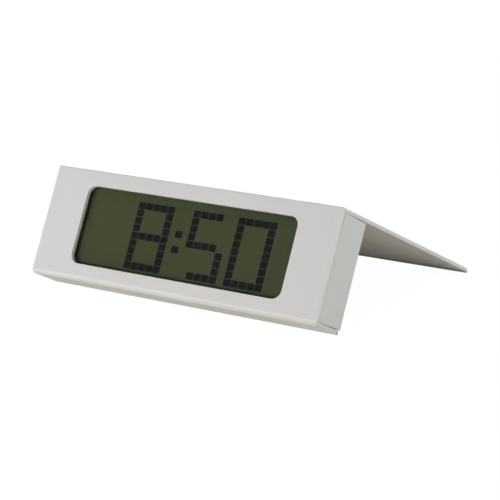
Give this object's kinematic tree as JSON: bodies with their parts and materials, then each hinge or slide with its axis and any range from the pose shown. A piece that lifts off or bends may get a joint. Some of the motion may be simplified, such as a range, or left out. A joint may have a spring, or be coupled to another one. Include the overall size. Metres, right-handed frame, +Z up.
{
  "type": "digital alarm clock",
  "caption": "White folded-sheet digital alarm clock: a leaning front plate with a dot-digit liquid crystal display, a long rear leg, and a battery case with rear buttons behind the display.",
  "frame": {"origin": "on the table, under the middle of the clock's overall box", "axes": "+X to the viewer's right along the display, +Y from the display to the rear leg's tip, +Z up"},
  "size_m": [0.16, 0.1438, 0.0567],
  "materials": {
    "shell_white": "fine satin moulding",
    "case_white": "fine satin moulding",
    "foot_grey": "matte",
    "foot_white": "matte",
    "black_foam": "matte foam",
    "clear_lens": "clear",
    "display_glass": "clear",
    "polarizer": "film",
    "dark_dots": "flat",
    "light_guide": "clear",
    "reflector_film": "satin film",
    "holder_plastic": "satin moulding",
    "led_body": "clear resin",
    "zebra_rubber": "striped silicone",
    "board_laminate": "solder mask",
    "chip_resin": "cured resin",
    "bright_can": "bright",
    "capacitor_sleeve": "printed film",
    "switch_black": "satin moulding",
    "switch_steel": "pressed sheet",
    "plunger_plastic": "satin moulding",
    "button_grey": "fine satin moulding",
    "cell_steel": "bright",
    "cell_sleeve": "printed film",
    "contact_nickel": "nickel plated",
    "red_wire": "insulation",
    "black_wire": "insulation",
    "grey_wire": "insulation",
    "buzzer_brass": "rolled",
    "buzzer_ceramic": "silvered ceramic",
    "screw_steel": "zinc plated"
  },
  "bodies": {
    "case": {"front_shell": "shell_white", "rear_case": "case_white", "lip_strip": "foot_grey", "leg_foot": "foot_white", "window_gasket": "black_foam", "display_lens": "clear_lens", "front_polarizer": "polarizer", "lcd_front_glass": "display_glass", "display_dots": "dark_dots", "lcd_rear_glass": "display_glass", "rear_polarizer": "polarizer", "light_guide": "light_guide", "reflector_film": "reflector_film", "lcd_holder": "holder_plastic", "backlight_leds": "led_body", "upper_zebra": "zebra_rubber", "lower_zebra": "zebra_rubber", "main_board": "board_laminate", "chip_blob": "chip_resin", "crystal_can": "bright_can", "capacitors": "capacitor_sleeve", "chip_resistors": "chip_resin", "switch_cases": "switch_black", "slide_switch_case": "switch_steel", "battery_cells": "cell_steel", "cell_sleeves": "cell_sleeve", "contact_link": "contact_nickel", "contact_negative": "contact_nickel", "contact_positive": "contact_nickel", "positive_wire": "red_wire", "negative_wire": "black_wire", "buzzer_wires": "grey_wire", "buzzer_plate": "buzzer_brass", "buzzer_ceramic": "buzzer_ceramic", "case_screws": "screw_steel", "board_screws": "screw_steel"},
    "set_button": {"set_button": "button_grey", "set_plunger": "plunger_plastic"},
    "down_button": {"down_button": "button_grey", "down_plunger": "plunger_plastic"},
    "up_button": {"up_button": "button_grey", "up_plunger": "plunger_plastic"},
    "snooze_button": {"snooze_button": "button_grey", "snooze_plunger": "plunger_plastic"},
    "alarm_slider": {"alarm_slider": "button_grey", "slide_switch_lever": "switch_black"},
    "battery_door": {"battery_door": "case_white"}
  },
  "joints": [
    {"name": "set_button_press", "type": "slide", "parent": "case", "child": "set_button", "axis": [0, -0.8988, 0.4384], "range_m": [0, 0.0008], "stiffness_N_per_m": 1000},
    {"name": "down_button_press", "type": "slide", "parent": "case", "child": "down_button", "axis": [0, -0.8988, 0.4384], "range_m": [0, 0.0008], "stiffness_N_per_m": 1000},
    {"name": "up_button_press", "type": "slide", "parent": "case", "child": "up_button", "axis": [0, -0.8988, 0.4384], "range_m": [0, 0.0008], "stiffness_N_per_m": 1000},
    {"name": "snooze_button_press", "type": "slide", "parent": "case", "child": "snooze_button", "axis": [0, -0.8988, 0.4384], "range_m": [0, 0.0008], "stiffness_N_per_m": 1000},
    {"name": "alarm_slider_slide", "type": "slide", "parent": "case", "child": "alarm_slider", "axis": [1, 0, 0], "range_m": [0, 0.003]},
    {"name": "battery_door_swing", "type": "hinge", "parent": "case", "child": "battery_door", "pos_m": [-0.0475, -0.04606, 0.0114], "axis": [-1, 0, 0], "range_deg": [0, 70]}
  ]
}
